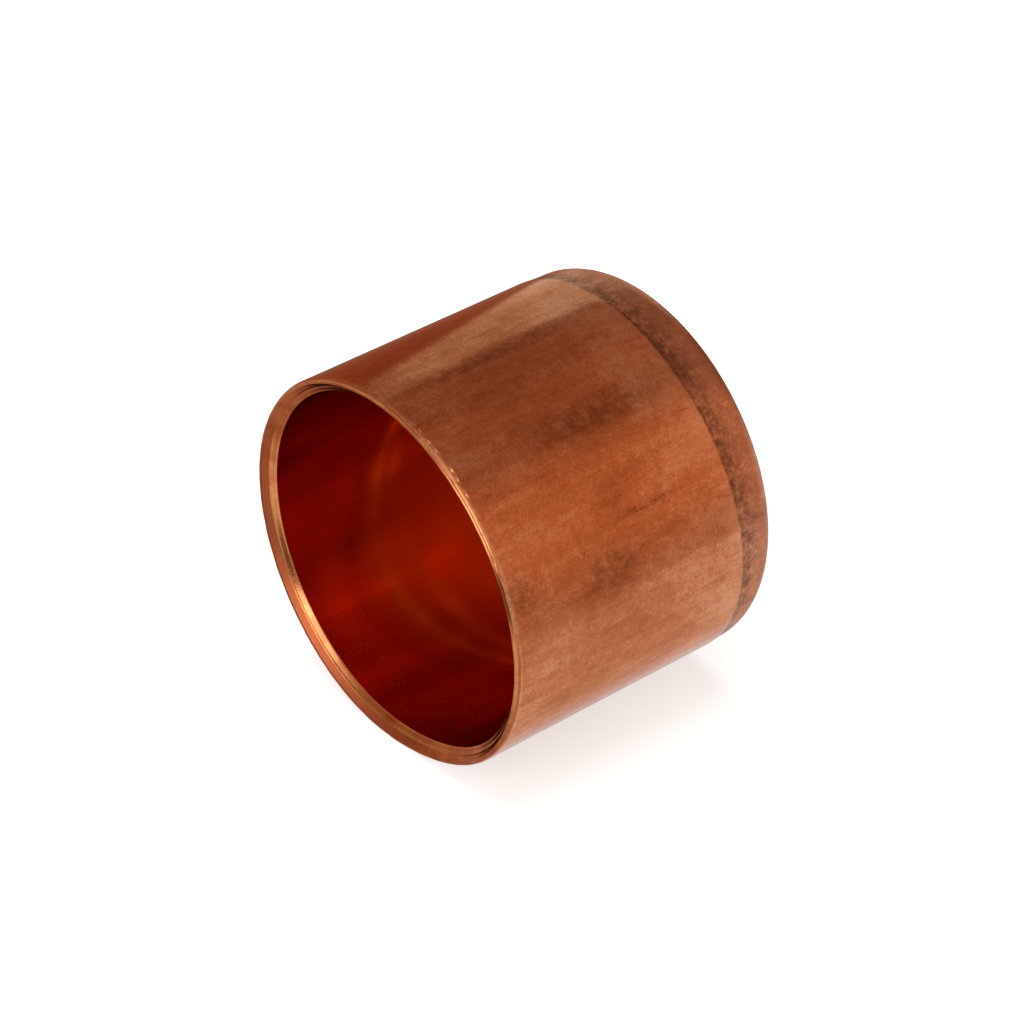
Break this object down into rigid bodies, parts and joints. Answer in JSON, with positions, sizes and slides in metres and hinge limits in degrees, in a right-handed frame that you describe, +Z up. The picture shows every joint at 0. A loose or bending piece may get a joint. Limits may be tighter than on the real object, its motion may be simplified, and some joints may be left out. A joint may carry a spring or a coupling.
{
  "type": "solder pipe cap",
  "caption": "Drawn copper end-feed solder cap: a plain cup with a rounded closed end and a smooth socket that closes the end of a 22 mm tube.",
  "frame": {"origin": "on the socket's axis, where its full-width wall begins, 0.68 mm inside the plane of the rim", "axes": "+Y along the socket's axis into the cap, towards the closed end; the mouth opens along -Y; +Z up, with the cap lying on its side and its lowest line at Z = -12 mm"},
  "size_m": [0.024, 0.0195, 0.024],
  "materials": {
    "copper": "tarnished copper, satin outside and brighter in the socket"
  },
  "bodies": {
    "root": {"cap_shell": "copper"}
  },
  "joints": []
}
